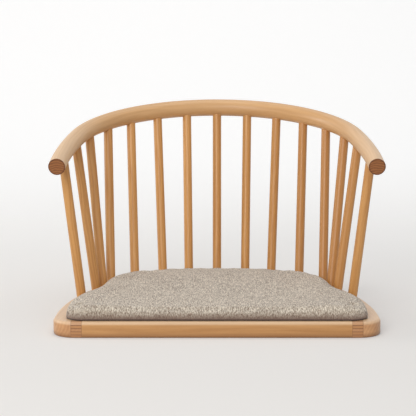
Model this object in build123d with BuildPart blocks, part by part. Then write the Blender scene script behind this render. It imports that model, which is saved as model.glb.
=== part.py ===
from build123d import *
import os
from math import atan2, cos, degrees, hypot, radians, sin

# A legless wooden chair for sitting on the floor. A round bent hoop slopes up from the two arms to the back and
# stands on fifteen spindles. The spindles stand in a flat D-shaped base of finger-jointed rails, and a padded
# seat is screwed down on the base. All lengths are millimetres. Seen from the front, X runs to the right, Y to
# the back and Z up. The origin is under the middle of the whole chair, on the floor.

# Base frame, seen from above as a D with its straight side in front, a little wider there than its back arc
base_back_radius = 232.0
base_flare = 34.5
base_depth = 445.0
base_side_straight = 61.0
base_corner_radius = 38.0
rail_width = 46.0
rail_height = 26.0
rail_top_round = 5.0
rail_bottom_round = 3.0
rail_inner_round = 1.5
rail_inner_corner = 14.0

# Finger joints between the rails, which are cut from blanks a little wider than they are
finger_length = 17.0
finger_count = 5
blank_allowance = 15.0
front_joint_inset = 40.5
joint_shares = (0.271, 0.655)

# Bent hoop, thickest in the middle of the back, where it stands out past the base
hoop_outset = 21.0
hoop_flare = 13.0
hoop_end_place = 107.3
hoop_back_height = 341.0
hoop_back_overhang = 40.0
hoop_slope = 11.4
hoop_back_diameter = 31.8
hoop_end_diameter = 28.5
hoop_end_round = 1.0
hoop_section_count = 5

# Spindles, placed as shares of the half line from the middle of the back to the front
spindle_diameter = 16.4
spindle_end_chamfer = 1.0
spindle_foot_depth = 15.0
spindle_head_depth = 2.0
spindle_inset = 19.0
socket_clearance = 0.1
socket_bottom_gap = 0.3
foot_shares = (0.0, 0.106, 0.209, 0.334, 0.474, 0.532, 0.585, 0.722)
head_shares = (0.0, 0.111, 0.224, 0.335, 0.445, 0.562, 0.690, 0.873)

# Padded seat: board, foam and cover. Its back lies inside the spindles, and in front it widens to two ears
pad_inset = 28.0
pad_front_inset = 9.0
pad_ear_inset = 18.5
pad_ear_length = 62.0
pad_flare_radius = 200.0
pad_corner_radius = 30.0
pad_height = 20.0
pad_crown = 5.0
pad_top_round = 8.0
pad_bottom_round = 3.0
cover_thickness = 1.2
cover_margin = 26.0
margin_corner_radius = 14.0
seat_gap = 0.3
layer_gap = 0.2
board_thickness = 6.0

# Screws that hold the seat board from below
screw_diameter = 3.5
screw_head_diameter = 7.0
screw_head_height = 2.4
screw_head_round = 0.8
screw_bite = 4.8
screw_tip = 2.5
screw_clearance = 0.25
screw_sink = 8.0
screw_sink_clearance = 0.5
screw_inset = 40.0
screw_front_share = 0.45
screw_shares = (0.12, 0.44, 0.85)


def side_radius(half_width, back_radius, run):
    """Radius of the arc that leaves a straight side and meets the back arc smoothly over a run along Y."""
    return (half_width**2 - back_radius**2 + run**2) / (2 * (half_width - back_radius))


# Places worked out from the sizes above
overrun = rail_height
base_half_width = base_back_radius + base_flare
front_joint_place = base_half_width - front_joint_inset
outside_reach = base_back_radius / 2
hoop_back_radius = base_back_radius + hoop_outset
hoop_half_width = hoop_back_radius + hoop_flare
hoop_reach = (base_depth + hoop_back_overhang - hoop_end_place) / cos(radians(hoop_slope))
overall_depth = base_depth + hoop_back_overhang + hoop_back_diameter / 2
front_y = -overall_depth / 2
back_centre_y = front_y + base_depth - base_back_radius
side_start_y = front_y + base_side_straight
base_side_radius = side_radius(base_half_width, base_back_radius, back_centre_y - side_start_y)
base_turn = degrees(atan2(back_centre_y - side_start_y, base_side_radius - base_half_width))
hoop_plane = Plane(
    origin=(0, front_y + base_depth + hoop_back_overhang, hoop_back_height),
    x_dir=(1, 0, 0),
    z_dir=(0, -sin(radians(hoop_slope)), cos(radians(hoop_slope))),
)
pad_bottom = rail_height + seat_gap
pad_top = pad_bottom + pad_height
pad_half_width = base_half_width - pad_ear_inset
pad_back_radius = base_back_radius - pad_inset
pad_middle_y = front_y + (base_depth + pad_front_inset - pad_inset) / 2
ear_end_y = front_y + pad_ear_length
ear_x = pad_half_width - pad_flare_radius
ear_run = ear_end_y - back_centre_y
ear_distance = hypot(ear_x, ear_run)
waist_distance = pad_back_radius + pad_flare_radius
waist_along = (waist_distance**2 - (2 * pad_flare_radius) ** 2 + ear_distance**2) / (2 * ear_distance)
waist_aside = (waist_distance**2 - waist_along**2) ** 0.5
waist_x = (waist_along * ear_x - waist_aside * ear_run) / ear_distance
waist_run = (waist_along * ear_run + waist_aside * ear_x) / ear_distance
waist_y = back_centre_y + waist_run
waist_turn = degrees(atan2(waist_run, waist_x))
flare_turn = degrees(atan2(waist_y - ear_end_y, waist_x - ear_x))
crown_reach = hypot(pad_half_width, pad_middle_y - front_y - pad_front_inset)
crown_radius = (crown_reach**2 + pad_crown**2) / (2 * pad_crown)
board_inset = pad_bottom_round + cover_thickness + layer_gap
board_bottom = pad_bottom + cover_thickness + layer_gap
board_top = board_bottom + board_thickness


def dee_lines(inset, corner):
    """Closed D outline inside the rim of the base: straight front, two corners, two sides and the back arc."""
    half = base_half_width - inset
    front = front_y + inset
    centre_x = base_half_width - base_side_radius
    for side in (1, -1):
        Line((side * half, front + corner), (side * half, side_start_y))
    Line((-half + corner, front), (half - corner, front))
    CenterArc((half - corner, front + corner), corner, -90, 90)
    CenterArc((-half + corner, front + corner), corner, 180, 90)
    CenterArc((centre_x, side_start_y), base_side_radius - inset, 0, base_turn)
    CenterArc((-centre_x, side_start_y), base_side_radius - inset, 180 - base_turn, base_turn)
    CenterArc((0, back_centre_y), base_back_radius - inset, base_turn, 180 - 2 * base_turn)


def pad_lines(inset, corner):
    """Closed outline inside the edge of the pad: straight front, two ears that narrow in an S, and the back arc."""
    half = pad_half_width - inset
    front = front_y + pad_front_inset + inset
    for side in (1, -1):
        Line((side * half, front + corner), (side * half, ear_end_y))
    Line((-half + corner, front), (half - corner, front))
    CenterArc((half - corner, front + corner), corner, -90, 90)
    CenterArc((-half + corner, front + corner), corner, 180, 90)
    CenterArc((ear_x, ear_end_y), pad_flare_radius - inset, 0, flare_turn)
    CenterArc((-ear_x, ear_end_y), pad_flare_radius - inset, 180 - flare_turn, flare_turn)
    CenterArc((waist_x, waist_y), pad_flare_radius + inset, 180 + waist_turn, flare_turn - waist_turn)
    CenterArc((-waist_x, waist_y), pad_flare_radius + inset, -flare_turn, flare_turn - waist_turn)
    CenterArc((0, back_centre_y), pad_back_radius - inset, waist_turn, 180 - 2 * waist_turn)


def rim_path(inset):
    """Half line inside the rim, from the middle of the back round the right side to the front corner."""
    half = base_half_width - inset
    with BuildLine() as path:
        CenterArc((0, back_centre_y), base_back_radius - inset, 90, base_turn - 90)
        CenterArc((base_half_width - base_side_radius, side_start_y), base_side_radius - inset, base_turn, -base_turn)
        Line((half, side_start_y), (half, front_y + base_corner_radius))
    return path.wire()


def hoop_radius(share):
    """Radius of the hoop at a share of its half length: it shrinks with the square of the share."""
    shrink = hoop_back_diameter - hoop_end_diameter
    return (hoop_back_diameter - shrink * share**2) / 2


# The line through the middle of the hoop, in the hoop's own sloping plane
arm_radius = side_radius(hoop_half_width, hoop_back_radius, hoop_reach - hoop_back_radius)
arm_turn = degrees(atan2(hoop_reach - hoop_back_radius, arm_radius - hoop_half_width))
with BuildLine(hoop_plane) as hoop_half_line:
    CenterArc((0, -hoop_back_radius), hoop_back_radius, 90, arm_turn - 90)
    CenterArc((hoop_half_width - arm_radius, -hoop_reach), arm_radius, arm_turn, -arm_turn)
with BuildLine(hoop_plane) as hoop_line:
    CenterArc((hoop_half_width - arm_radius, -hoop_reach), arm_radius, 0, arm_turn)
    CenterArc((0, -hoop_back_radius), hoop_back_radius, arm_turn, 180 - 2 * arm_turn)
    CenterArc((arm_radius - hoop_half_width, -hoop_reach), arm_radius, 180 - arm_turn, arm_turn)

# Where each spindle stands on the base and where it meets the hoop, right side first, then mirrored
foot_line = rim_path(spindle_inset)
spindle_ends = []
for foot_share, head_share in zip(foot_shares, head_shares):
    foot = foot_line @ foot_share + Vector(0, 0, rail_height)
    head = hoop_half_line.wire() @ head_share
    spindle_ends.append((foot, head))
    if foot_share > 0:
        spindle_ends.append((Vector(-foot.X, foot.Y, foot.Z), Vector(-head.X, head.Y, head.Z)))
spindle_ends.sort(key=lambda ends: (ends[0].X, ends[0].Y))
left_ends = sorted([ends for ends in spindle_ends if ends[0].X < 0], key=lambda ends: ends[1].Y)
right_ends = sorted([ends for ends in spindle_ends if ends[0].X > 0], key=lambda ends: -ends[1].Y)
middle_ends = [ends for ends in spindle_ends if ends[0].X == 0]
spindle_ends = left_ends + middle_ends + right_ends


def spindle_plane(foot, head, depth):
    """Plane across a spindle, a depth below its foot, with its normal along the spindle."""
    along = (head - foot).normalized()
    return Plane(origin=foot - along * depth, x_dir=along.cross(Vector(0, 0, 1).cross(along)), z_dir=along)


parts = {}

# Hoop: round sections carried along the line, then rounded ends and blind sockets for the spindles
with BuildPart() as hoop:
    with BuildLine() as path:
        add(hoop_line.line)
    for number in range(hoop_section_count):
        share = number / (hoop_section_count - 1)
        spot = path.wire() @ share
        with BuildSketch(Plane(origin=spot, x_dir=hoop_plane.z_dir, z_dir=path.wire() % share)):
            Circle(hoop_radius(abs(2 * share - 1)))
    sweep(multisection=True)
    ends = hoop.faces().filter_by(GeomType.PLANE)
    fillet(ends.edges(), radius=hoop_end_round)
    for foot, head in spindle_ends:
        length = (head - foot).length + spindle_head_depth + socket_bottom_gap
        with BuildSketch(spindle_plane(foot, head, 0)):
            Circle(spindle_diameter / 2 + socket_clearance)
        extrude(amount=length, mode=Mode.SUBTRACT)
parts["hoop"] = hoop.part

# Spindles: round rods with chamfered ends
for number, (foot, head) in enumerate(spindle_ends, start=1):
    length = (head - foot).length + spindle_foot_depth + spindle_head_depth
    with BuildPart() as spindle:
        with BuildSketch(spindle_plane(foot, head, spindle_foot_depth)):
            Circle(spindle_diameter / 2)
        extrude(amount=length)
        chamfer(spindle.faces().filter_by(GeomType.PLANE).edges(), length=spindle_end_chamfer)
    parts[f"spindle_{number:02d}"] = spindle.part

# Whole base ring with rounded edges, spindle sockets and screw holes, cut into rails further down
screw_line = rim_path(screw_inset)
screw_front_place = screw_front_share * base_half_width
screw_spots = [(side * screw_front_place, front_y + screw_inset) for side in (1, -1)]
for share in screw_shares:
    spot = screw_line @ share
    screw_spots += [(side * spot.X, spot.Y) for side in (1, -1)]

with BuildPart() as base_ring:
    with BuildSketch():
        with BuildLine():
            dee_lines(0, base_corner_radius)
        make_face()
    extrude(amount=rail_height)
    fillet(base_ring.faces().sort_by(Axis.Z)[-1].edges(), radius=rail_top_round)
    fillet(base_ring.faces().sort_by(Axis.Z)[0].edges(), radius=rail_bottom_round)
    with BuildSketch():
        with BuildLine():
            dee_lines(rail_width, rail_inner_corner)
        make_face()
    extrude(amount=rail_height, mode=Mode.SUBTRACT)
    chamfer(base_ring.faces().sort_by(Axis.Z)[-1].inner_wires().edges(), length=rail_inner_round)
    chamfer(base_ring.faces().sort_by(Axis.Z)[0].inner_wires().edges(), length=rail_inner_round)
    for foot, head in spindle_ends:
        with BuildSketch(spindle_plane(foot, head, spindle_foot_depth + socket_bottom_gap)):
            Circle(spindle_diameter / 2 + socket_clearance)
        extrude(amount=spindle_foot_depth + overrun, mode=Mode.SUBTRACT)
    with Locations(*[Location((x, y, 0), (180, 0, 0)) for x, y in screw_spots]):
        CounterBoreHole(
            radius=screw_diameter / 2 + screw_clearance,
            counter_bore_radius=screw_head_diameter / 2 + screw_sink_clearance,
            counter_bore_depth=screw_sink,
            depth=rail_height + overrun,
        )

# Joints between the rails, each a plane across the base with its X axis along the rail
joint_line = rim_path(rail_width / 2)
finger_height = rail_height / finger_count
joint_planes = {}
for name, share in zip(("back", "side"), joint_shares):
    along = joint_line % share
    joint_planes[name] = Plane(origin=joint_line @ share, x_dir=along, z_dir=(0, 0, 1))
joint_planes["front"] = Plane(
    origin=(front_joint_place, front_y + rail_width / 2, 0), x_dir=(-1, 0, 0), z_dir=(0, 0, 1)
)


def joint_corner(plane, along, across):
    """A point near a joint, along the rail and towards the outside of the base, as a plain pair."""
    spot = plane.from_local_coords(Vector(along, across, 0))
    return (spot.X, spot.Y)


def finger_blocks(plane, first):
    """Every second finger of a joint as one set of blocks, starting with the lowest layer or the one above."""
    with BuildPart() as blocks:
        for layer in range(first, finger_count, 2):
            with BuildSketch(plane.offset(layer * finger_height)):
                Rectangle(finger_length, rail_width + 2 * blank_allowance)
            extrude(amount=finger_height)
    return blocks.part


def cut_rail(start, start_first, end, end_first, outside):
    """One rail between two places on the ring. It keeps its own fingers at the start, where they are the
    layers from start_first on, and at the end it gives room to the next rail's, the layers from end_first on.
    At the middle of the base there are no fingers, so the first layer is None there."""
    wide = rail_width / 2 + blank_allowance
    start_reach = 0 if start_first is None else finger_length / 2
    end_reach = 0 if end_first is None else finger_length / 2
    corners = [joint_corner(start, start_reach, -wide), joint_corner(start, start_reach, wide)]
    corners += [outside, joint_corner(end, end_reach, wide), joint_corner(end, end_reach, -wide)]
    with BuildPart() as rail:
        with BuildSketch():
            with BuildLine():
                Polyline(*corners, close=True)
            make_face()
        extrude(amount=rail_height)
        if start_first is not None:
            add(finger_blocks(start, start_first))
        if end_first is not None:
            add(finger_blocks(end, end_first), mode=Mode.SUBTRACT)
        add(base_ring.part, mode=Mode.INTERSECT)
    return rail.part


def beyond(share):
    """A point well outside the rim, past a share of the half line round the base."""
    spot = joint_line @ share
    along = joint_line % share
    return (spot.X - along.Y * outside_reach, spot.Y + along.X * outside_reach)


back_middle = Plane(origin=joint_line @ 0, x_dir=(1, 0, 0), z_dir=(0, 0, 1))
front_middle = Plane(origin=(0, front_y + rail_width / 2, 0), x_dir=(-1, 0, 0), z_dir=(0, 0, 1))
side_outside = (base_half_width + outside_reach, front_y - outside_reach)
front_outside = (front_joint_place / 2, front_y - outside_reach)
back_half = cut_rail(back_middle, None, joint_planes["back"], 0, beyond(joint_shares[0] / 2))
back_corner = cut_rail(joint_planes["back"], 0, joint_planes["side"], 1, beyond(sum(joint_shares) / 2))
side_rail = cut_rail(joint_planes["side"], 1, joint_planes["front"], 1, side_outside)
front_half = cut_rail(joint_planes["front"], 1, front_middle, None, front_outside)
with BuildPart() as front_rail:
    add(front_half)
    mirror(about=Plane.YZ)
with BuildPart() as back_rail:
    add(back_half)
    mirror(about=Plane.YZ)
parts["front_rail"] = front_rail.part
parts["back_rail"] = back_rail.part
for name, right_piece in (("back_corner_rail", back_corner), ("side_rail", side_rail)):
    with BuildPart() as left_piece:
        mirror(right_piece, about=Plane.YZ)
    parts[f"{name}_right"] = right_piece
    parts[f"{name}_left"] = left_piece.part


def cushion(inset):
    """Cushion form drawn in all round by an inset: a block of the pad's outline
    under a wide dome, with its edges rolled over."""
    with BuildPart() as form:
        with BuildSketch(Plane.XY.offset(pad_bottom + inset)):
            with BuildLine():
                pad_lines(inset, pad_corner_radius - inset)
            make_face()
        extrude(amount=pad_height)
        with Locations((0, pad_middle_y, pad_top - crown_radius)):
            Sphere(crown_radius - inset, mode=Mode.INTERSECT)
        fillet(form.faces().sort_by(Axis.Z)[-1].edges(), radius=pad_top_round - inset)
        fillet(form.faces().sort_by(Axis.Z)[0].edges(), radius=pad_bottom_round - inset)
    return form.part


# Seat board: plywood with pilot holes for the screws
with BuildPart() as seat_board:
    with BuildSketch(Plane.XY.offset(board_bottom)):
        with BuildLine():
            pad_lines(board_inset, pad_corner_radius - board_inset)
        make_face()
    extrude(amount=board_thickness)
    with Locations(*[Location((x, y, board_bottom), (180, 0, 0)) for x, y in screw_spots]):
        Hole(radius=screw_diameter / 2 + layer_gap, depth=screw_bite + layer_gap)
parts["seat_board"] = seat_board.part

# Foam: the cushion form less the thickness of the cover, cut flat on the board
with BuildPart() as seat_foam:
    add(cushion(cover_thickness + layer_gap))
    split(bisect_by=Plane.XY.offset(board_top + layer_gap), keep=Keep.TOP)
parts["seat_foam"] = seat_foam.part

# Cover: a thin skin round foam and board, open below inside its turned-in margin
with BuildPart() as seat_cover:
    add(cushion(0))
    add(cushion(cover_thickness), mode=Mode.SUBTRACT)
    with BuildSketch(Plane.XY.offset(pad_bottom)):
        with BuildLine():
            pad_lines(board_inset + cover_margin, margin_corner_radius)
        make_face()
    extrude(amount=cover_thickness + layer_gap, mode=Mode.SUBTRACT)
    with Locations(*[Location((x, y, pad_bottom), (180, 0, 0)) for x, y in screw_spots]):
        Hole(radius=screw_diameter / 2 + screw_clearance, depth=cover_thickness + layer_gap)
parts["seat_cover"] = seat_cover.part

# Screws: pan heads in the sunk holes under the rails, tips in the board
screw_top = board_bottom + screw_bite
with BuildPart() as seat_screws:
    for x, y in screw_spots:
        with BuildSketch(Plane(origin=(x, y, 0), x_dir=(1, 0, 0), z_dir=(0, -1, 0))):
            with BuildLine():
                head_radius = screw_head_diameter / 2
                head_bottom = screw_sink - screw_head_height
                Polyline(
                    (0, head_bottom),
                    (head_radius - screw_head_round, head_bottom),
                    (head_radius, head_bottom + screw_head_round),
                    (head_radius, screw_sink),
                    (screw_diameter / 2, screw_sink),
                    (screw_diameter / 2, screw_top - screw_tip),
                    (0, screw_top),
                    close=True,
                )
            make_face()
        revolve(axis=Axis((x, y, 0), (0, 0, 1)))
parts["seat_screws"] = seat_screws.part

os.makedirs("parts", exist_ok=True)
for name, piece in parts.items():
    piece.label = name
    export_step(piece, f"parts/{name}.step")
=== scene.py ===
import math
from collections import namedtuple

import bmesh
import bpy
import numpy as np
from mathutils import Euler, Matrix, Vector


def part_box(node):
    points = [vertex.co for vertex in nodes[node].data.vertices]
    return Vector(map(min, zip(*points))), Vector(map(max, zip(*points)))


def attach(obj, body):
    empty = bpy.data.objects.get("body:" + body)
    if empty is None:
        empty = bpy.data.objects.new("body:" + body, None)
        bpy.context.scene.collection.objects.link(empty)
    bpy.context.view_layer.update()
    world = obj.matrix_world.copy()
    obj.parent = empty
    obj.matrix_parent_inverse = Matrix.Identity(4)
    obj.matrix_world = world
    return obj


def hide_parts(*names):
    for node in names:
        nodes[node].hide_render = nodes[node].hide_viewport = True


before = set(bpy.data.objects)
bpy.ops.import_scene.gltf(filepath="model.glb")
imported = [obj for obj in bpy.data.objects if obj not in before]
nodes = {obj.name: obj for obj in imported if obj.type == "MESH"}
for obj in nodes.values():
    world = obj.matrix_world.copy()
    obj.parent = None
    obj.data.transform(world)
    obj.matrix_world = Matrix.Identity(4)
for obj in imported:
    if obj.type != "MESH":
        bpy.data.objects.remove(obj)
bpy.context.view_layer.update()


def corners(name):
    """Low and high corner of a solid's box, to the micrometre."""
    return [[round(place, 6) for place in corner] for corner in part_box(name)]


# Sizes of the chair in metres, seen from the front: X to the right, Y to the back, Z up
FRONT_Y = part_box("front_rail")[0][1]
BASE_DEPTH = round(corners("back_rail")[1][1] - FRONT_Y, 6)
BASE_BACK_RADIUS = 0.232
RAIL_HEIGHT = corners("front_rail")[1][2]
FINGER_LENGTH, FINGER_LAYERS = 0.017, 5
FINGER_PLACE = corners("front_rail")[1][0] - FINGER_LENGTH / 2
cover_low, cover_high = corners("seat_cover")
PAD_HALF, PAD_LOW, PAD_HIGH = cover_high[0], cover_low[2], cover_high[2]
PAD_FRONT = 0.0065
PAD_CORNER_RADIUS, PAD_FLARE_RADIUS, PAD_BACK_RADIUS = 0.030, 0.200, 0.204
PAD_EAR = 0.062
PAD_CROWN = 0.005
BOARD_INSET = round(PAD_HALF - corners("seat_board")[1][0], 6)
COVER_MARGIN = 0.026
HOOP_HALF, HOOP_REACH, HOOP_BACK_RADIUS = 0.266, 0.385, 0.253
HOOP_ORIGIN = (0.0, FRONT_Y + 0.485, 0.341)
HOOP_SLOPE = math.radians(11.4)
HOOP_END_RADIUS = 0.014

# Camera: width of the picture, focal length and height of the horizon over its middle, in pixels, then metres
PICTURE_PIXELS, FOCAL_PIXELS, HORIZON_PIXELS = 416, 1300, 178
CAMERA_DISTANCE, CAMERA_HEIGHT, CAMERA_SHIFT = 2.0385, 0.490, -0.0216
SENSOR_WIDTH = 36.0


# Node trees
class Tree:
    """Short ways to add nodes to a shader tree and to link them."""

    def __init__(self, tree):
        self.tree = tree

    def add(self, kind, values=(), **settings):
        """A node with its settings, and values or sockets for its inputs by name or number."""
        node = self.tree.nodes.new(kind)
        for key, value in settings.items():
            setattr(node, key, value)
        for key, value in dict(values).items():
            self.put(node.inputs[key], value)
        return node

    def put(self, socket, value):
        """Links a socket to another one, or gives it a constant. A colour of three parts is made opaque."""
        if isinstance(value, bpy.types.NodeSocket):
            self.tree.links.new(value, socket)
        elif socket.type == "RGBA" and len(value) == 3:
            socket.default_value = (*value, 1.0)
        else:
            socket.default_value = value

    def math(self, operation, first, second=0.0, third=0.0, clamp=False):
        """What a Math node gives for up to three values."""
        values = {0: first, 1: second, 2: third}
        return self.add("ShaderNodeMath", values, operation=operation, use_clamp=clamp).outputs[0]

    def total(self, *terms, clamp=False):
        """Sum of products, each of a value and its weight. A clamped sum is held between 0 and 1."""
        result = 0.0
        for number, (value, weight) in enumerate(terms, 1):
            result = self.math("MULTIPLY_ADD", value, weight, result, clamp and number == len(terms))
        return result

    def length(self, first, second):
        """Root of the sum of two squares."""
        return self.math("SQRT", self.total((first, first), (second, second)))

    def split(self, vector):
        """X, Y and Z of a vector."""
        return self.add("ShaderNodeSeparateXYZ", {0: vector}).outputs

    def join(self, x, y, z):
        """A vector from its X, Y and Z."""
        return self.add("ShaderNodeCombineXYZ", {0: x, 1: y, 2: z}).outputs[0]

    def placed(self, vector, origin, turn):
        """Coordinates from an origin, turned by a matrix."""
        move = -(turn @ Vector(origin))
        values = {"Vector": vector, "Location": tuple(move), "Rotation": tuple(turn.to_euler())}
        return self.add("ShaderNodeMapping", values).outputs[0]

    def noise(self, vector, waves, detail, roughness):
        """Noise between 0 and 1, with so many waves per metre along each axis."""
        stretched = self.add("ShaderNodeMapping", {"Vector": vector, "Scale": waves}).outputs[0]
        values = {"Vector": stretched, "Scale": 1.0, "Detail": detail, "Roughness": roughness}
        return self.add("ShaderNodeTexNoise", values).outputs["Fac"]

    def ramp(self, value, low, high, out_low=0.0, out_high=1.0):
        """Goes smoothly from one output to the other while the value goes from low to high."""
        values = {"Value": value, "From Min": low, "From Max": high, "To Min": out_low, "To Max": out_high}
        return self.add("ShaderNodeMapRange", values, interpolation_type="SMOOTHSTEP").outputs[0]

    def patches(self, vector, pattern):
        """Noise made into patches: 0 where it is under the pattern's low level and 1 where it is over the
        high one."""
        noise = self.noise(vector, pattern.waves, pattern.detail, pattern.roughness)
        return self.ramp(noise, pattern.low, pattern.high)

    def mix(self, share, first, second):
        """Colour that goes from the first to the second while the share goes from 0 to 1."""
        return self.add("ShaderNodeMix", {0: share, 6: first, 7: second}, data_type="RGBA").outputs[2]


def group(name, inputs, outputs):
    """An empty shader node group with named sockets: its tree, its inputs and its outputs."""
    tree = bpy.data.node_groups.new(name, "ShaderNodeTree")
    for label, kind in inputs.items():
        tree.interface.new_socket(label, in_out="INPUT", socket_type=kind)
    for label, kind in outputs.items():
        tree.interface.new_socket(label, in_out="OUTPUT", socket_type=kind)
    t = Tree(tree)
    return t, t.add("NodeGroupInput").outputs, t.add("NodeGroupOutput").inputs


COLOUR, NUMBER, VECTOR = "NodeSocketColor", "NodeSocketFloat", "NodeSocketVector"
Pattern = namedtuple("Pattern", "waves detail roughness low high")

# Wood grain, whose waves run along the grain and then across it both ways
GRAIN_SWAY = (4.0, 28.0, 28.0)
GRAIN_BROAD = Pattern((3.0, 60.0, 60.0), detail=3.0, roughness=0.55, low=0.3, high=0.7)
GRAIN_FIBRES = Pattern((14.0, 700.0, 700.0), detail=2.0, roughness=0.6, low=0.3, high=0.75)
GRAIN_FLECKS = Pattern((110.0, 1500.0, 1500.0), detail=1.0, roughness=0.5, low=0.63, high=0.76)
RINGS_ACROSS, RINGS_UP = 150.0, 70.0
BAND_START, BAND_FULL = 0.02, 0.48
BAND_TONE, BROAD_TONE, FIBRE_TONE, FLECK_TONE = 0.5, 0.42, 0.2, 0.3
FIBRE_HEIGHT, FLECK_HEIGHT = -0.4, -0.6
WOOD_ROUGHNESS, FIBRE_ROUGHNESS = 0.36, 0.1


def wood_group():
    """Oiled wood whose grain runs along X: soft growth bands, fine fibres and short dark flecks. The bands
    come and go with the distance across the grain, made uneven by a slow noise."""
    t, into, out = group(
        "wood_grain",
        {"Vector": VECTOR, "Pale": COLOUR, "Dark": COLOUR, "Bands": NUMBER, "Sway": NUMBER},
        {"Color": COLOUR, "Height": NUMBER, "Roughness": NUMBER},
    )
    vector = into["Vector"]
    _, y, z = t.split(vector)
    sway = t.noise(vector, GRAIN_SWAY, detail=2.0, roughness=0.5)
    rings = t.total((sway, into["Sway"]), (z, RINGS_UP), (y, RINGS_ACROSS))
    bands = t.ramp(t.math("PINGPONG", rings, 0.5), BAND_START, BAND_FULL)
    broad = t.patches(vector, GRAIN_BROAD)
    fibres = t.patches(vector, GRAIN_FIBRES)
    flecks = t.patches(vector, GRAIN_FLECKS)
    band_tone = t.math("MULTIPLY", into["Bands"], BAND_TONE)
    tone = t.total((bands, band_tone), (broad, BROAD_TONE), (fibres, FIBRE_TONE), (flecks, FLECK_TONE),
                   clamp=True)
    t.put(out["Color"], t.mix(tone, into["Pale"], into["Dark"]))
    t.put(out["Height"], t.total((fibres, FIBRE_HEIGHT), (flecks, FLECK_HEIGHT)))
    t.put(out["Roughness"], t.math("MULTIPLY_ADD", fibres, FIBRE_ROUGHNESS, WOOD_ROUGHNESS))
    return t.tree


# End grain, whose growth rings lie about a heart below the rod
HEART_DEPTH = 0.03
RINGS_PER_METRE, RING_SWAY = 240.0, 1.4
RING_START, RING_FULL = 0.08, 0.42
RING_SWAY_WAVES = (90.0, 90.0, 90.0)
END_PORES = Pattern((1400.0, 1400.0, 1400.0), detail=1.0, roughness=0.5, low=0.5, high=0.75)
# Painted shade in a darker rim round the cut end: where it starts and where it is full, then how dark it is
RIM_SHADE_START, RIM_SHADE_FULL = 0.80, 0.97
RING_TONE, PORE_TONE, RIM_SHADE_TONE = 0.55, 0.3, 0.6


def end_grain_group():
    """Cut end of a round rod, across Y and Z: faint arcs of growth rings, pores, and painted shade in a
    darker rim. The rings come and go with the distance from the heart, made uneven by noise."""
    t, into, out = group(
        "end_grain",
        {"Vector": VECTOR, "Pale": COLOUR, "Dark": COLOUR, "Radius": NUMBER},
        {"Color": COLOUR},
    )
    vector = into["Vector"]
    _, y, z = t.split(vector)
    sway = t.noise(vector, RING_SWAY_WAVES, detail=2.0, roughness=0.5)
    from_heart = t.length(y, t.math("ADD", z, HEART_DEPTH))
    waves = t.total((sway, RING_SWAY), (from_heart, RINGS_PER_METRE))
    rings = t.ramp(t.math("PINGPONG", waves, 0.5), RING_START, RING_FULL)
    pores = t.patches(vector, END_PORES)
    # Painted shade, darkening the end towards its rim
    rim = t.ramp(t.math("DIVIDE", t.length(y, z), into["Radius"]), RIM_SHADE_START, RIM_SHADE_FULL)
    tone = t.total((rings, RING_TONE), (pores, PORE_TONE), (rim, RIM_SHADE_TONE), clamp=True)
    t.put(out["Color"], t.mix(tone, into["Pale"], into["Dark"]))
    return t.tree


# How deep behind the hoop's cut ends the end grain reaches
END_SKIN = 0.0004


def hoop_path_group():
    """Turns object coordinates into coordinates of the bent hoop: along it, across it in its plane, and up.
    The plane of the hoop is tilted. Its back is an arc about a centre in front of it, and each arm an arc of
    a far larger radius that runs on smoothly. Distances along the arcs are angle times radius."""
    t, into, out = group("hoop_path", {"Vector": VECTOR}, {"Vector": VECTOR, "End": NUMBER})
    run = HOOP_REACH - HOOP_BACK_RADIUS
    arm_radius = (HOOP_HALF**2 - HOOP_BACK_RADIUS**2 + run**2) / (2 * (HOOP_HALF - HOOP_BACK_RADIUS))
    turn = math.atan2(run, arm_radius - HOOP_HALF)
    half_length = (math.pi / 2 - turn) * HOOP_BACK_RADIUS + turn * arm_radius
    tilt = Euler((-HOOP_SLOPE, 0.0, 0.0)).to_matrix()
    x, y, z = t.split(t.placed(into["Vector"], HOOP_ORIGIN, tilt))
    side = t.math("ABSOLUTE", x)

    back_y = t.math("ADD", y, HOOP_BACK_RADIUS)
    back_along = t.math("MULTIPLY", t.math("ARCTAN2", side, back_y), HOOP_BACK_RADIUS)
    back_across = t.math("SUBTRACT", t.length(side, back_y), HOOP_BACK_RADIUS)
    arm_x = t.math("SUBTRACT", side, HOOP_HALF - arm_radius)
    arm_y = t.math("ADD", y, HOOP_REACH)
    angle = t.math("ARCTAN2", arm_y, arm_x)
    arm_along = t.math("SUBTRACT", half_length, t.math("MULTIPLY", angle, arm_radius))
    arm_across = t.math("SUBTRACT", t.length(arm_x, arm_y), arm_radius)

    on_arm = t.math("LESS_THAN", angle, turn)
    on_back = t.math("SUBTRACT", 1.0, on_arm)
    along = t.total((arm_along, on_arm), (back_along, on_back))
    across = t.total((arm_across, on_arm), (back_across, on_back))
    t.put(out["Vector"], t.join(t.math("MULTIPLY", along, t.math("SIGN", x)), across, z))
    t.put(out["End"], t.math("LESS_THAN", arm_y, END_SKIN))
    return t.tree


# How dark the two lines across a finger joint are, beside those between its layers
CROSS_LINE = 0.45


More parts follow.
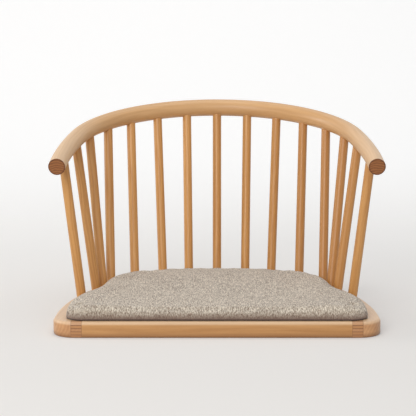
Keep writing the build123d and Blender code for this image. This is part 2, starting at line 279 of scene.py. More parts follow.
def line_group():
    """Thin dark glue lines of a finger joint whose middle is at X zero, with its layers up Z. Lines lie
    between the layers, but not at the foot and the top, and across both ends of the fingers."""
    t, into, out = group(
        "joint_lines",
        {"Vector": VECTOR, "Length": NUMBER, "Layer": NUMBER, "Layers": NUMBER, "Width": NUMBER},
        {"Mask": NUMBER, "Zone": NUMBER},
    )
    x, _, z = t.split(into["Vector"])
    half_width = t.math("MULTIPLY", into["Width"], 0.5)
    half_layer = t.math("MULTIPLY", into["Layer"], 0.5)
    past_end = t.math("SUBTRACT", t.math("ABSOLUTE", x), t.math("MULTIPLY", into["Length"], 0.5))
    inside = t.math("LESS_THAN", past_end, half_width)
    across = t.math("LESS_THAN", t.math("ABSOLUTE", past_end), half_width)
    level = t.math("PINGPONG", z, half_layer)
    layer = t.math("DIVIDE", z, into["Layer"])
    above_foot = t.math("LESS_THAN", 0.5, layer)
    below_top = t.math("LESS_THAN", layer, t.math("SUBTRACT", into["Layers"], 0.5))
    between = t.math("MULTIPLY", inside, t.math("MULTIPLY", above_foot, below_top))
    lines = t.math("MULTIPLY", t.math("LESS_THAN", level, half_width), between)
    t.put(out["Mask"], t.math("MAXIMUM", lines, t.math("MULTIPLY", across, CROSS_LINE)))
    t.put(out["Zone"], inside)
    return t.tree


# Heather cloth: threads of uneven shade, specks, blotches and stray threads, and painted shade at the pad's
# foot
CLOTH_WARP = Pattern((740.0, 130.0, 240.0), detail=1.0, roughness=0.5, low=0.35, high=0.65)
CLOTH_WEFT = Pattern((120.0, 620.0, 620.0), detail=1.0, roughness=0.5, low=0.30, high=0.70)
CLOTH_SPECKS = Pattern((780.0, 230.0, 400.0), detail=2.0, roughness=0.7, low=0.37, high=0.63)
CLOTH_BLOTCHES = Pattern((24.0, 24.0, 24.0), detail=3.0, roughness=0.6, low=0.3, high=0.7)
CLOTH_STRAYS = Pattern((240.0, 110.0, 110.0), detail=2.0, roughness=0.6, low=0.56, high=0.70)
WARP_TONE, WEFT_TONE, SPECK_TONE, BLOTCH_TONE, STRAY_TONE = 0.54, 0.08, 0.44, 0.07, 0.35
WEAVE_TONE, WEAVE_LEVEL = 0.1, 0.2
WEAVE_HEIGHT, WARP_HEIGHT = 0.6, -0.5
# Painted shade over the cloth's lowest part: how high it reaches and how dark it is at the foot
FOOT_SHADE_HEIGHT, FOOT_SHADE_SHARE = 0.0170, 0.95
# Painted shadow in the gap along the pad's foot: where it is full, where it ends, how dark, and its colour
GAP_SHADOW_FULL, GAP_SHADOW_END, GAP_SHADOW_SHARE = 0.0010, 0.0034, 0.92
GAP_SHADOW_COLOUR = (0.05, 0.03, 0.022)


def cloth_group():
    """Woven heather cloth: threads that run from front to back and down the sides, each of its own shade
    along its length, finer ones across them, stray brown flecks and soft blotches. The weave is the product
    of two sine waves. Shade is painted on the cloth low down, where it is pulled under, and a painted shadow
    is darkest in the gap along its foot."""
    t, into, out = group(
        "woven_cloth",
        {"Vector": VECTOR, "Pale": COLOUR, "Dark": COLOUR, "Fleck": COLOUR, "Painted Shade": COLOUR, "Foot": NUMBER,
         "Pitch": NUMBER},
        {"Color": COLOUR, "Height": NUMBER},
    )
    vector = into["Vector"]
    x, y, z = t.split(vector)
    turns = t.math("DIVIDE", math.pi, into["Pitch"])
    along_x = t.math("ABSOLUTE", t.math("SINE", t.math("MULTIPLY", x, turns)))
    along_y = t.math("ABSOLUTE", t.math("SINE", t.math("MULTIPLY", t.math("ADD", y, z), turns)))
    weave = t.math("MULTIPLY", along_x, along_y)
    warp = t.patches(vector, CLOTH_WARP)
    weft = t.patches(vector, CLOTH_WEFT)
    specks = t.patches(vector, CLOTH_SPECKS)
    blotches = t.patches(vector, CLOTH_BLOTCHES)
    strays = t.patches(vector, CLOTH_STRAYS)
    hollows = t.math("SUBTRACT", WEAVE_LEVEL, weave)
    tone = t.total((warp, WARP_TONE), (weft, WEFT_TONE), (blotches, BLOTCH_TONE), (specks, SPECK_TONE),
                   (hollows, WEAVE_TONE), clamp=True)
    heather = t.mix(tone, into["Pale"], into["Dark"])
    heather = t.mix(t.math("MULTIPLY", strays, STRAY_TONE), heather, into["Fleck"])
    height = t.math("SUBTRACT", z, into["Foot"])
    # Painted shade over the lowest part of the cloth
    heather = t.mix(t.ramp(height, 0.0, FOOT_SHADE_HEIGHT, FOOT_SHADE_SHARE, 0.0), heather, into["Painted Shade"])
    # Painted shadow, darkest in the gap along the foot
    t.put(out["Color"], t.mix(t.ramp(height, GAP_SHADOW_FULL, GAP_SHADOW_END, GAP_SHADOW_SHARE, 0.0), heather, GAP_SHADOW_COLOUR))
    t.put(out["Height"], t.total((weave, WEAVE_HEIGHT), (warp, WARP_HEIGHT)))
    return t.tree


WOOD = wood_group()
END_GRAIN = end_grain_group()
HOOP_PATH = hoop_path_group()
LINES = line_group()
CLOTH = cloth_group()


# Meshes
def new_mesh(name, points, faces):
    """A new object in the scene from points and faces."""
    mesh = bpy.data.meshes.new(name)
    mesh.from_pydata(points, [], faces)
    mesh.update()
    made = bpy.data.objects.new(name, mesh)
    bpy.context.scene.collection.objects.link(made)
    return made


def get_points(piece):
    """Points of a piece's mesh, one row for each."""
    points = np.empty(len(piece.data.vertices) * 3)
    piece.data.vertices.foreach_get("co", points)
    return points.reshape(-1, 3)


def set_points(piece, points):
    """Puts changed points back into a piece's mesh."""
    piece.data.vertices.foreach_set("co", points.reshape(-1))
    piece.data.update()


def shade_smooth(piece):
    """Shades all faces of a piece smooth."""
    piece.data.polygons.foreach_set("use_smooth", [True] * len(piece.data.polygons))


def face_outwards(piece):
    """Turns the faces of a closed piece so that all point outwards."""
    mesh = bmesh.new()
    mesh.from_mesh(piece.data)
    bmesh.ops.recalc_face_normals(mesh, faces=mesh.faces)
    mesh.to_mesh(piece.data)
    mesh.free()


def apply_all(piece):
    """Makes the piece's mesh what its modifiers show."""
    view = bpy.context.evaluated_depsgraph_get()
    mesh = bpy.data.meshes.new_from_object(piece.evaluated_get(view))
    piece.modifiers.clear()
    piece.data = mesh


# Materials
def material(name):
    """A new material with its Principled shader: the material, its tree, the shader and the object
    coordinates."""
    made = bpy.data.materials.new(name)
    made.use_nodes = True
    t = Tree(made.node_tree)
    shader = made.node_tree.nodes["Principled BSDF"]
    place = t.add("ShaderNodeTexCoord").outputs["Object"]
    return made, t, shader, place


def use(t, tree, values):
    """Outputs of a node group placed in a material with its own values."""
    return t.add("ShaderNodeGroup", values, node_tree=tree).outputs


def bump(t, shader, height, distance, strength=1.0):
    """Lets a height, of so many metres at 1, tilt the shader's normal."""
    node = t.add("ShaderNodeBump", {"Height": height, "Distance": distance, "Strength": strength})
    t.put(shader.inputs["Normal"], node.outputs[0])


# How much of a direction's length goes up where it counts as upright
UPRIGHT = 0.9


def turned(t, place, origin, along):
    """Coordinates with X along a direction from an origin. Z is as near to up as it can be, or to the back
    if the direction is upright."""
    along = Vector(along).normalized()
    up = Vector((0, 1, 0)) if abs(along.z) >= UPRIGHT else Vector((0, 0, 1))
    across = up.cross(along).normalized()
    return t.placed(place, origin, Matrix((along, across, along.cross(across))))


def dress(piece, made):
    """Gives a piece one material in each of its slots."""
    for slot in piece.material_slots:
        slot.material = made
    if not piece.material_slots:
        piece.data.materials.append(made)


# Wood colours, linear
SPINDLE_PALE, SPINDLE_DARK = (0.71, 0.372, 0.118), (0.49, 0.212, 0.054)
HOOP_PALE, HOOP_DARK = (0.72, 0.43, 0.20), (0.55, 0.29, 0.11)
RAIL_PALE, RAIL_DARK = (0.62, 0.322, 0.115), (0.44, 0.20, 0.06)
CORNER_PALE, CORNER_DARK = (0.68, 0.37, 0.17), (0.47, 0.215, 0.085)
END_PALE, END_DARK = (0.355, 0.135, 0.04), (0.12, 0.036, 0.011)
JOINT_LINE = (0.17, 0.065, 0.026)
# Pale colour that the rails' painted highlight and the paler hoop arms are mixed towards
PALE_WASH = (0.84, 0.64, 0.43)
# Painted shade at the foot of the rails
RAIL_FOOT_SHADE = (0.26, 0.11, 0.038)

# Satin lacquer, the depth of the grain under it, and how much rougher the bare end grain is
LACQUER, LACQUER_ROUGHNESS = 0.18, 0.38
GRAIN_DEPTH = 0.00006
END_ROUGHNESS = 0.3

# Spindles: which one is darkest, how far the dark ones spread, and how near they come to the dark colour
DARKEST_SPINDLE, DARKER_SPREAD, DARKER = 12.4, 2.4, 0.75

# Length of a rod's ends that its direction is found from, and how far its grain is shifted by its place
SPINDLE_END, GRAIN_SHIFT = 0.004, 0.37

# Hoop: its arms turn paler between two distances along it from the middle of the back
ARM_START, ARM_FULL, ARM_PALE_SHARE = 0.16, 0.50, 0.36

# Rails: a painted highlight in the pale band under the top edge and painted shade in the dark band over the
# foot, and how strong they are
TOP_HIGHLIGHT_LOW, TOP_HIGHLIGHT_HIGH, TOP_HIGHLIGHT_SHARE = RAIL_HEIGHT - 0.0065, RAIL_HEIGHT - 0.0015, 0.5
RAIL_SHADE_LOW, RAIL_SHADE_HIGH, RAIL_SHADE_SHARE = 0.0015, 0.0100, 0.74

# Finger joints: how dark the fingers and the glue lines are, and how wide the lines
FINGER_DARK, LINE_DARK, GLUE_WIDTH = 0.7, 0.85, 0.001

# How far the grain of the side and corner rails turns in towards the back
SIDE_GRAIN, CORNER_GRAIN = 0.12, 0.75


def wood_finish(t, shader, grain):
    """Satin lacquer over the grain."""
    t.put(shader.inputs["Roughness"], grain["Roughness"])
    shader.inputs["Coat Weight"].default_value = LACQUER
    shader.inputs["Coat Roughness"].default_value = LACQUER_ROUGHNESS
    bump(t, shader, grain["Height"], GRAIN_DEPTH)


def spindle_wood(piece):
    """Wood whose grain runs along a turned rod, found from the two ends of its mesh and shifted a little by
    its place, so no two rods show the same grain. The rods at the right are cut from darker wood, by a bell
    curve over their numbers."""
    points = get_points(piece)
    heights = points[:, 2]
    low = points[heights < heights.min() + SPINDLE_END].mean(axis=0)
    high = points[heights > heights.max() - SPINDLE_END].mean(axis=0)
    made, t, shader, place = material(piece.name + "_wood")
    own = turned(t, place, low - (GRAIN_SHIFT * low[0], 0, 0), high - low)
    far = (int(piece.name[-2:]) - DARKEST_SPINDLE) / DARKER_SPREAD
    pale = Vector(SPINDLE_PALE).lerp(Vector(SPINDLE_DARK), DARKER * math.exp(-(far**2)))
    values = {"Vector": own, "Pale": tuple(pale), "Dark": SPINDLE_DARK, "Bands": 0.75, "Sway": 7.0}
    grain = use(t, WOOD, values)
    t.put(shader.inputs["Base Color"], grain["Color"])
    wood_finish(t, shader, grain)
    return made


def hoop_wood():
    """Wood whose grain follows the bend, paler on the arms, with dark and dull end grain on the two cut
    ends."""
    made, t, shader, place = material("hoop_wood")
    path = use(t, HOOP_PATH, {"Vector": place})
    along, _, _ = t.split(path["Vector"])
    values = {"Vector": path["Vector"], "Pale": HOOP_PALE, "Dark": HOOP_DARK, "Bands": 0.5, "Sway": 5.0}
    grain = use(t, WOOD, values)
    values = {"Vector": path["Vector"], "Pale": END_PALE, "Dark": END_DARK, "Radius": HOOP_END_RADIUS}
    ends = use(t, END_GRAIN, values)
    paler_arms = t.ramp(t.math("ABSOLUTE", along), ARM_START, ARM_FULL, 0.0, ARM_PALE_SHARE)
    colour = t.mix(paler_arms, grain["Color"], PALE_WASH)
    t.put(shader.inputs["Base Color"], t.mix(path["End"], colour, ends["Color"]))
    wood_finish(t, shader, grain)
    t.put(shader.inputs["Roughness"], t.math("MULTIPLY_ADD", path["End"], END_ROUGHNESS, grain["Roughness"]))
    t.put(shader.inputs["Coat Weight"], t.math("MULTIPLY", t.math("SUBTRACT", 1.0, path["End"]), LACQUER))
    return made


def rail_wood(name, along, pale, dark, joints):
    """Wood of a rail with straight grain, a painted highlight along its top, painted shade at its foot, and
    the glue lines of its joints."""
    made, t, shader, place = material(name)
    _, _, height = t.split(place)
    own = turned(t, place, (0, 0, 0), along)
    grain = use(t, WOOD, {"Vector": own, "Pale": pale, "Dark": dark, "Bands": 0.6, "Sway": 2.2})
    # Painted highlight in a pale band under the top edge
    colour = t.mix(t.ramp(height, TOP_HIGHLIGHT_LOW, TOP_HIGHLIGHT_HIGH, 0.0, TOP_HIGHLIGHT_SHARE), grain["Color"], PALE_WASH)
    # Painted shade in a dark band over the foot
    colour = t.mix(t.ramp(height, RAIL_SHADE_LOW, RAIL_SHADE_HIGH, RAIL_SHADE_SHARE, 0.0), colour, RAIL_FOOT_SHADE)
    for origin in joints:
        values = {"Vector": turned(t, place, origin, (1, 0, 0)), "Length": FINGER_LENGTH,
                  "Layer": RAIL_HEIGHT / FINGER_LAYERS, "Layers": FINGER_LAYERS, "Width": GLUE_WIDTH}
        lines = use(t, LINES, values)
        colour = t.mix(t.math("MULTIPLY", lines["Zone"], FINGER_DARK), colour, CORNER_DARK)
        colour = t.mix(t.math("MULTIPLY", lines["Mask"], LINE_DARK), colour, JOINT_LINE)
    t.put(shader.inputs["Base Color"], colour)
    wood_finish(t, shader, grain)
    return made


# Plain finishes of board and screws, a little streaky
STREAKS = Pattern((8.0, 160.0, 900.0), detail=2.0, roughness=0.6, low=0.35, high=0.65)
STREAK_SHADE = 0.72
PLYWOOD, STEEL = (0.55, 0.38, 0.21), (0.62, 0.60, 0.56)


def plain(name, colour, roughness, metallic=0.0):
    """One colour with darker streaks."""
    made, t, shader, place = material(name)
    dark = tuple(STREAK_SHADE * part for part in colour)
    t.put(shader.inputs["Base Color"], t.mix(t.patches(place, STREAKS), colour, dark))
    shader.inputs["Roughness"].default_value = roughness
    shader.inputs["Metallic"].default_value = metallic
    return made


# Wood, board and screws
dress(nodes["hoop"], hoop_wood())
for name, piece in nodes.items():
    if name.startswith("spindle"):
        dress(piece, spindle_wood(piece))
front_joints = [(side * FINGER_PLACE, FRONT_Y, 0.0) for side in (-1, 1)]
dress(nodes["front_rail"], rail_wood("front_wood", (1, 0, 0), RAIL_PALE, RAIL_DARK, front_joints))
dress(nodes["back_rail"], rail_wood("back_wood", (1, 0, 0), RAIL_PALE, RAIL_DARK, []))
for side, label in ((-1, "left"), (1, "right")):
    grain_along = (-side * SIDE_GRAIN, 1, 0)
    made = rail_wood("side_wood_" + label, grain_along, CORNER_PALE, CORNER_DARK, front_joints)
    dress(nodes["side_rail_" + label], made)
    grain_along = (-side * CORNER_GRAIN, 1, 0)
    made = rail_wood("corner_wood_" + label, grain_along, CORNER_PALE, CORNER_DARK, [])
    dress(nodes["back_corner_rail_" + label], made)
dress(nodes["seat_board"], plain("plywood", PLYWOOD, roughness=0.65))
dress(nodes["seat_screws"], plain("screw_steel", STEEL, roughness=0.35, metallic=1.0))


# Seat pad
ARC_STEPS = 120


def arc(centre, radius, start, end):
    """Points of an arc: the centre and the radius times the cosine and sine of even angles from start to
    end."""
    angles = np.linspace(start, end, ARC_STEPS)
    return np.stack([centre[0] + radius * np.cos(angles), centre[1] + radius * np.sin(angles)], axis=1)


def pad_outline(inset, corner, count):
    """Points of the pad's outline drawn in by an inset, evenly along it and turning to the left: a straight
    front, rounded corners, short straight sides, then on each side an arc that turns in, an arc of the same
    radius that turns out again, and the back arc, each tangent to the next. The centre of the outward arc is
    where two circles cross, one about the centre of the back arc and one about that of the inward arc."""
    half, back = PAD_HALF - inset, PAD_BACK_RADIUS - inset
    front, ear_y = FRONT_Y + PAD_FRONT + inset, FRONT_Y + PAD_EAR
    back_y = FRONT_Y + BASE_DEPTH - BASE_BACK_RADIUS
    ear = np.array([PAD_HALF - PAD_FLARE_RADIUS, ear_y - back_y])
    far = np.linalg.norm(ear)
    reach = PAD_BACK_RADIUS + PAD_FLARE_RADIUS
    along = (reach**2 - (2 * PAD_FLARE_RADIUS) ** 2 + far**2) / (2 * far)
    aside = math.sqrt(reach**2 - along**2)
    waist = (along * ear + aside * np.array([-ear[1], ear[0]])) / far
    turn = math.atan2(waist[1] - ear[1], waist[0] - ear[0])
    waist_turn = math.atan2(waist[1], waist[0])

    right = np.concatenate([
        arc((half - corner, front + corner), corner, -math.pi / 2, 0.0),
        arc((ear[0], ear_y), PAD_FLARE_RADIUS - inset, 0.0, turn),
        arc((waist[0], back_y + waist[1]), PAD_FLARE_RADIUS + inset, math.pi + turn, math.pi + waist_turn),
        arc((0.0, back_y), back, waist_turn, math.pi / 2),
    ])
    left = right[::-1] * (-1, 1)
    loop = np.concatenate([right, left, right[:1]])
    steps = np.concatenate([[0.0], np.cumsum(np.linalg.norm(np.diff(loop, axis=0), axis=1))])
    places = np.linspace(0.0, steps[-1], count, endpoint=False)
    return np.stack([np.interp(places, steps, loop[:, 0]), np.interp(places, steps, loop[:, 1])], axis=1)


def inside_distance(points, outline):
    """How far each point lies inside a closed outline, and less than zero outside it. A point is inside if a
    line from it crosses the outline an odd number of times."""
    nearest = np.full(len(points), np.inf)
    crossings = np.zeros(len(points), dtype=int)
    for a, b in zip(outline, np.roll(outline, -1, axis=0)):
        along = b - a
        share = np.clip(((points - a) @ along) / (along @ along), 0.0, 1.0)
        nearest = np.minimum(nearest, np.linalg.norm(points - a - share[:, None] * along, axis=1))
        if along[1] != 0:
            spans = (a[1] > points[:, 1]) != (b[1] > points[:, 1])
            crossings += spans & (points[:, 0] < a[0] + along[0] * (points[:, 1] - a[1]) / along[1])
    return np.where(crossings % 2 == 1, nearest, -nearest)


def smooth_step(value, low, high):
    """Rises from 0 at low to 1 at high, level at both ends: 3 t squared less 2 t cubed."""
    t = np.clip((value - low) / (high - low), 0.0, 1.0)
    return t * t * (3 - 2 * t)


def bell(value, spread):
    """Bell curve: e to the power of minus the square of the value over its spread."""
    return np.exp(-((value / spread) ** 2))


def column(*parts):
    """Joins arrays into one column."""
    return np.concatenate(parts)[:, None]


# Form that the pad is blown up from: how much smaller it is, its edges, and how the cover is pulled under
SIDE_SLACK, TOP_SLACK = 0.0015, 0.001
PAD_EDGE = 0.0085
UNDERCUT, CORNER_UNDERCUT = 0.0017, 0.0006
CORNER_FRONT_Y, CORNER_BACK_Y = FRONT_Y + 0.03, FRONT_Y + 0.05
TUCK_X = 0.2155
CORNER_START_X, CORNER_FULL_X = TUCK_X - 0.002, TUCK_X + 0.004

# How much lower its top is at the middle of the back and higher at the sides, and where
BACK_DIP, DIP_FROM, DIP_TO, DIP_SPREAD = 0.0042, 0.02, 0.14, 0.095
SIDE_RISE, RISE_FROM, RISE_TO = 0.0052, 0.10, 0.20

# Its grid: points round the rim, rings of the underside and of the top, rings of each rounded edge
RIM_POINTS, FLAT_RINGS, EDGE_RINGS = 480, 29, 7
MIDDLE_SHARE = 0.04


def pad_form():
    """Closed form that the cushion is blown up from, a little smaller than the finished pad, as a grid: along
    its rim, and around its section from the middle of the underside to the middle of the top. A point is the
    rim, moved in square to itself by the section's inset, then drawn to the middle of the pad by the
    section's share. The top is a low dome, whose height falls with the square of the distance from the
    middle. Near the rim it dips in the middle of the back, by a bell curve across the pad, and rises towards
    both sides by a smooth step. The side bulges over a quarter of an ellipse below, where the cover is pulled
    under, and a quarter of a circle above."""
    middle = np.array([0.0, FRONT_Y + (BASE_DEPTH + PAD_FRONT - BASE_BACK_RADIUS + PAD_BACK_RADIUS) / 2])
    reach_squared = PAD_HALF**2 + (middle[1] - FRONT_Y - PAD_FRONT) ** 2
    rim = pad_outline(SIDE_SLACK, PAD_CORNER_RADIUS - SIDE_SLACK, RIM_POINTS)
    ahead = np.roll(rim, -1, axis=0) - np.roll(rim, 1, axis=0)
    inward = np.stack([-ahead[:, 1], ahead[:, 0]], axis=1) / np.linalg.norm(ahead, axis=1)[:, None]
    near_front = smooth_step(rim[:, 1], CORNER_BACK_Y, CORNER_FRONT_Y)
    at_corner = near_front * smooth_step(np.abs(rim[:, 0]), CORNER_START_X, CORNER_FULL_X)
    undercut = UNDERCUT + (CORNER_UNDERCUT - UNDERCUT) * at_corner

    shares = np.linspace(MIDDLE_SHARE, 1.0, FLAT_RINGS + 1)
    low_turn = np.linspace(0.0, math.pi / 2, EDGE_RINGS)
    high_turn = np.linspace(0.0, math.pi / 2, EDGE_RINGS + 1)[1:]
    flat_none, flat_full = np.zeros(FLAT_RINGS), np.ones(FLAT_RINGS)
    edge_none, edge_full = np.zeros(EDGE_RINGS), np.ones(EDGE_RINGS)
    share = column(shares[:-1], edge_full, edge_full, shares[-2::-1])
    low_inset = column(flat_full, 1 - np.sin(low_turn), edge_none, flat_none)
    high_inset = column(flat_none, edge_none, 1 - np.cos(high_turn), flat_full)
    rise = column(flat_none, 1 - np.cos(low_turn), edge_full, flat_full)
    over = column(flat_none, edge_none, np.sin(high_turn), flat_full)

    inset = low_inset * undercut + high_inset * PAD_EDGE
    flat = middle + share[..., None] * (rim + inset[..., None] * inward - middle)
    top = PAD_HIGH - TOP_SLACK - PAD_CROWN * ((flat - middle) ** 2).sum(axis=2) / reach_squared
    behind = smooth_step(flat[..., 1], middle[1] + DIP_FROM, middle[1] + DIP_TO) * share**3
    top -= BACK_DIP * behind * bell(flat[..., 0], DIP_SPREAD)
    top += SIDE_RISE * smooth_step(np.abs(flat[..., 0]), RISE_FROM, RISE_TO) * share**3
    height = PAD_LOW + rise * (top - PAD_EDGE - PAD_LOW) + over * PAD_EDGE
    points = np.concatenate([flat, height[..., None]], axis=2).reshape(-1, 3)

    rings = len(share)
    ring, step = np.meshgrid(np.arange(rings - 1), np.arange(RIM_POINTS), indexing="ij")
    here, above = ring * RIM_POINTS, (ring + 1) * RIM_POINTS
    after = (step + 1) % RIM_POINTS
    faces = np.stack([here + step, here + after, above + after, above + step], axis=2)
    bottom_cap = list(range(RIM_POINTS - 1, -1, -1))
    top_cap = list(range((rings - 1) * RIM_POINTS, rings * RIM_POINTS))
    return new_mesh("seat_pad", points, faces.reshape(-1, 4).tolist() + [bottom_cap, top_cap])


# Cloth that swells: its voxels, how much of its foot is held, its pressure and stiffness, and how far it goes
VOXEL = 0.004
HELD_HEIGHT = 0.003
PRESSURE, STIFFNESS, BENDING, QUALITY = 4.0, 12.0, 2.0, 4
LAST_FRAME = 20
SIDE_TRAVEL, FALL, SWELL = 0.0015, 0.001, 0.003


def remesh(piece):
    """Gives a closed piece an even mesh of small faces."""
    voxels = piece.modifiers.new("remesh", "REMESH")
    voxels.mode = "VOXEL"
    voxels.voxel_size = VOXEL
    apply_all(piece)


def blow_up(piece):
    """Swells a piece under pressure, as a cloth whose underside is held, within limits for each point."""
    start = get_points(piece)
    held = piece.vertex_groups.new(name="held")
    low = np.nonzero(start[:, 2] < PAD_LOW + HELD_HEIGHT)[0]
    held.add(low.tolist(), 1.0, "REPLACE")
    cloth = piece.modifiers.new("cloth", "CLOTH")
    settings = cloth.settings
    settings.use_pressure = True
    settings.uniform_pressure_force = PRESSURE
    settings.effector_weights.gravity = 0.0
    settings.vertex_group_mass = "held"
    settings.quality = QUALITY
    settings.tension_stiffness = STIFFNESS
    settings.compression_stiffness = STIFFNESS
    settings.bending_stiffness = BENDING
    cloth.point_cache.frame_start = 1
    cloth.point_cache.frame_end = LAST_FRAME
    for step in range(1, LAST_FRAME + 1):
        bpy.context.scene.frame_set(step)
    apply_all(piece)
    bpy.context.scene.frame_set(1)

    moved = get_points(piece) - start
    sideways = np.linalg.norm(moved[:, :2], axis=1, keepdims=True)
    moved[:, :2] *= np.minimum(1.0, SIDE_TRAVEL / np.maximum(sideways, 1e-9))
    moved[:, 2] = np.clip(moved[:, 2], -FALL, SWELL)
    set_points(piece, start + moved)


def refine(piece):
    """Divides the faces of a piece once and rounds them."""
    smooth = piece.modifiers.new("subdivision", "SUBSURF")
    smooth.levels = smooth.render_levels = 1
    apply_all(piece)


# Underside: how high its points lie, and how far and over what width it rises inside the cover's margin
UNDERSIDE, RECESS, RECESS_SLOPE = 0.0016, 0.0024, 0.003
WINDOW_CORNER, WINDOW_POINTS = 0.014, 240

# Folds across the back corners: their depth and width, the line that they follow, and where they are deepest
FOLD_DEPTH, FOLD_WIDTH = 0.0013, 0.006
FOLD_SIDE, FOLD_Y, FOLD_SLANT = 0.19, 0.250, 0.22
FOLD_MIDDLE, FOLD_SPREAD = 0.152, 0.026
FOLD_LOW, FOLD_EASE = 0.010, 0.006

# Lap where the cover is tucked in beside each front corner: its depth, then where it starts, fades and ends
LAP_DEPTH = 0.0012
LAP_FULL, LAP_FADE, LAP_END = 0.0015, 0.003, 0.012
LAP_FRONT_Y, LAP_BACK_Y = 0.018, 0.030
LAP_HEIGHT, LAP_TOP = 0.007, 0.013


def shape_pad(points):
    """Turns the swollen form into the fitted pad. The underside is flat on the rails, and inside the
    turned-in margin of the cover it rises over the face of the board. Shallow folds cross the back corners of
    the top, each a groove of bell section along a slanting line. Beside each front corner a lap of the cover
    stands out a little."""
    points = points.copy()
    window = pad_outline(BOARD_INSET + COVER_MARGIN, WINDOW_CORNER, WINDOW_POINTS)
    low = points[:, 2] < PAD_LOW + UNDERSIDE
    deep = inside_distance(points[low][:, :2], window)
    points[low, 2] = PAD_LOW + RECESS * np.clip(deep / RECESS_SLOPE, 0.0, 1.0)

    side = np.abs(points[:, 0])
    y = points[:, 1] - FRONT_Y
    from_line = y - (FOLD_Y + FOLD_SLANT * (FOLD_SIDE - side))
    fold = bell(from_line, FOLD_WIDTH) * bell(side - FOLD_MIDDLE, FOLD_SPREAD)
    on_top = np.clip((points[:, 2] - PAD_LOW - FOLD_LOW) / FOLD_EASE, 0.0, 1.0)
    points[:, 2] -= FOLD_DEPTH * fold * on_top

    starts = smooth_step(side, TUCK_X, TUCK_X + LAP_FULL)
    ends = smooth_step(side, TUCK_X + LAP_END, TUCK_X + LAP_FADE)
    at_front = smooth_step(y, LAP_BACK_Y, LAP_FRONT_Y)
    low_down = smooth_step(points[:, 2], PAD_LOW + LAP_TOP, PAD_LOW + LAP_HEIGHT)
    points[:, 1] -= LAP_DEPTH * starts * ends * at_front * low_down
    return points


# Cloth colours, linear, and how coarse, rough and soft the cloth is
CLOTH_PALE, CLOTH_DARK = (0.86, 0.765, 0.625), (0.18, 0.125, 0.082)
# Brown of the stray flecks, and the colour of the painted shade at the cloth's foot
CLOTH_FLECK, PAINTED_CLOTH_SHADE = (0.33, 0.21, 0.14), (0.17, 0.105, 0.082)
THREAD_PITCH, THREAD_DEPTH, THREAD_STRENGTH = 0.0016, 0.0005, 0.7
CLOTH_ROUGHNESS, NAP, NAP_ROUGHNESS = 0.9, 0.25, 0.6


def cloth_material():
    """Dull heather cloth with a faint nap."""
    made, t, shader, place = material("heather_cloth")
    values = {"Vector": place, "Pale": CLOTH_PALE, "Dark": CLOTH_DARK, "Fleck": CLOTH_FLECK,
              "Painted Shade": PAINTED_CLOTH_SHADE, "Foot": PAD_LOW, "Pitch": THREAD_PITCH}
    cloth = use(t, CLOTH, values)
    t.put(shader.inputs["Base Color"], cloth["Color"])
    shader.inputs["Roughness"].default_value = CLOTH_ROUGHNESS
    shader.inputs["Sheen Weight"].default_value = NAP
    shader.inputs["Sheen Roughness"].default_value = NAP_ROUGHNESS
    bump(t, shader, cloth["Height"], THREAD_DEPTH, THREAD_STRENGTH)
    return made


pad = pad_form()
face_outwards(pad)
remesh(pad)
blow_up(pad)
refine(pad)
set_points(pad, shape_pad(get_points(pad)))
shade_smooth(pad)
dress(pad, cloth_material())
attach(pad, "root")
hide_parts("seat_cover", "seat_foam")


# Floor and backdrop: a flat floor, a sweep of a quarter circle, and a wall, with its own paint
FLOOR_HALF_WIDTH, FLOOR_FRONT, FLOOR_BACK = 8.0, -6.0, 2.2
SWEEP_RADIUS, SWEEP_START, SWEEP_STEPS = 1.2, 0.1, 12
WALL_TOP = 6.0
FLOOR_COLOUR, FLOOR_ROUGHNESS = (0.63, 0.605, 0.575), 0.85
GLOW_COLOUR = (0.80, 0.82, 0.84)
GLOW_FRONT_Y, GLOW_BACK_Y, GLOW_FRONT, GLOW_BACK = -0.5, 2.6, 0.23, 0.66


def sweep_floor():
    """Floor that runs flat and then curves up into a wall far behind the chair: a line, an arc and a line,
    carried straight across."""
    profile = [(FLOOR_FRONT, 0.0), (FLOOR_BACK, 0.0)]
    for angle in np.linspace(SWEEP_START, math.pi / 2, SWEEP_STEPS):
        profile.append((FLOOR_BACK + SWEEP_RADIUS * math.sin(angle), SWEEP_RADIUS * (1 - math.cos(angle))))
    profile.append((FLOOR_BACK + SWEEP_RADIUS, WALL_TOP))
    points = [(side * FLOOR_HALF_WIDTH, y, z) for y, z in profile for side in (-1, 1)]
    faces = [(2 * n, 2 * n + 1, 2 * n + 3, 2 * n + 2) for n in range(len(profile) - 1)]
    made = new_mesh("floor", points, faces)
    shade_smooth(made)
    return made


def floor_paint():
    """Pale matt paint, lifted by a faint glow to the back that only the camera and reflections see."""
    made, t, shader, place = material("floor_paint")
    _, y, _ = t.split(place)
    paths = t.add("ShaderNodeLightPath").outputs
    seen = t.math("MAXIMUM", paths["Is Camera Ray"], paths["Is Glossy Ray"])
    glow = t.ramp(y, GLOW_FRONT_Y, GLOW_BACK_Y, GLOW_FRONT, GLOW_BACK)
    t.put(shader.inputs["Base Color"], FLOOR_COLOUR)
    shader.inputs["Roughness"].default_value = FLOOR_ROUGHNESS
    t.put(shader.inputs["Emission Color"], GLOW_COLOUR)
    t.put(shader.inputs["Emission Strength"], t.math("MULTIPLY", seen, glow))
    return made


floor = sweep_floor()
dress(floor, floor_paint())


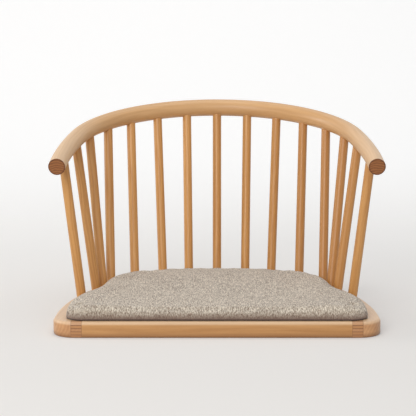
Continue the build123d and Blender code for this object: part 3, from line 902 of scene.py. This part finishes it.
# Light and camera
CHAIR_MIDDLE = (0.0, 0.0, 0.15)
SEAT_MIDDLE = (0.0, 0.0, 0.1)
SKY_COLOUR, SKY_STRENGTH = (0.93, 0.96, 1.0), 0.47


def lamp(name, place, target, size, power, colour):
    """Round soft lamp of a size in metres and a power in watts, aimed at a target."""
    data = bpy.data.lights.new(name, "AREA")
    data.shape = "DISK"
    data.size = size
    data.energy = power
    data.color = colour
    made = bpy.data.objects.new(name, data)
    made.location = place
    made.rotation_euler = (Vector(target) - Vector(place)).to_track_quat("-Z", "Y").to_euler()
    bpy.context.scene.collection.objects.link(made)


def sky():
    """Even pale light from all round."""
    world = bpy.data.worlds.new("room")
    world.use_nodes = True
    background = world.node_tree.nodes["Background"]
    background.inputs["Color"].default_value = (*SKY_COLOUR, 1.0)
    background.inputs["Strength"].default_value = SKY_STRENGTH
    return world


def front_camera():
    """Camera in front of the chair, tilted down so that the horizon lies over the picture's middle."""
    data = bpy.data.cameras.new("camera")
    data.sensor_width = SENSOR_WIDTH
    data.lens = SENSOR_WIDTH * FOCAL_PIXELS / PICTURE_PIXELS
    data.shift_x = CAMERA_SHIFT
    made = bpy.data.objects.new("camera", data)
    made.location = (0.0, FRONT_Y - CAMERA_DISTANCE, CAMERA_HEIGHT)
    made.rotation_euler = (math.pi / 2 - math.atan(HORIZON_PIXELS / FOCAL_PIXELS), 0.0, 0.0)
    bpy.context.scene.collection.objects.link(made)
    return made


lamp("key", (-1.1, -3.0, 1.6), CHAIR_MIDDLE, size=2.2, power=57.0, colour=(1.0, 0.975, 0.94))
lamp("side", (-3.0, 0.5, 1.1), CHAIR_MIDDLE, size=1.2, power=22.0, colour=(1.0, 0.98, 0.95))
lamp("top", (0.2, 0.3, 3.0), SEAT_MIDDLE, size=2.4, power=23.0, colour=(1.0, 0.99, 0.98))
lamp("fill", (2.4, -2.0, 1.4), CHAIR_MIDDLE, size=2.0, power=4.0, colour=(0.95, 0.97, 1.0))
scene = bpy.context.scene
scene.world = sky()
scene.view_settings.view_transform = "Standard"
scene.camera = front_camera()
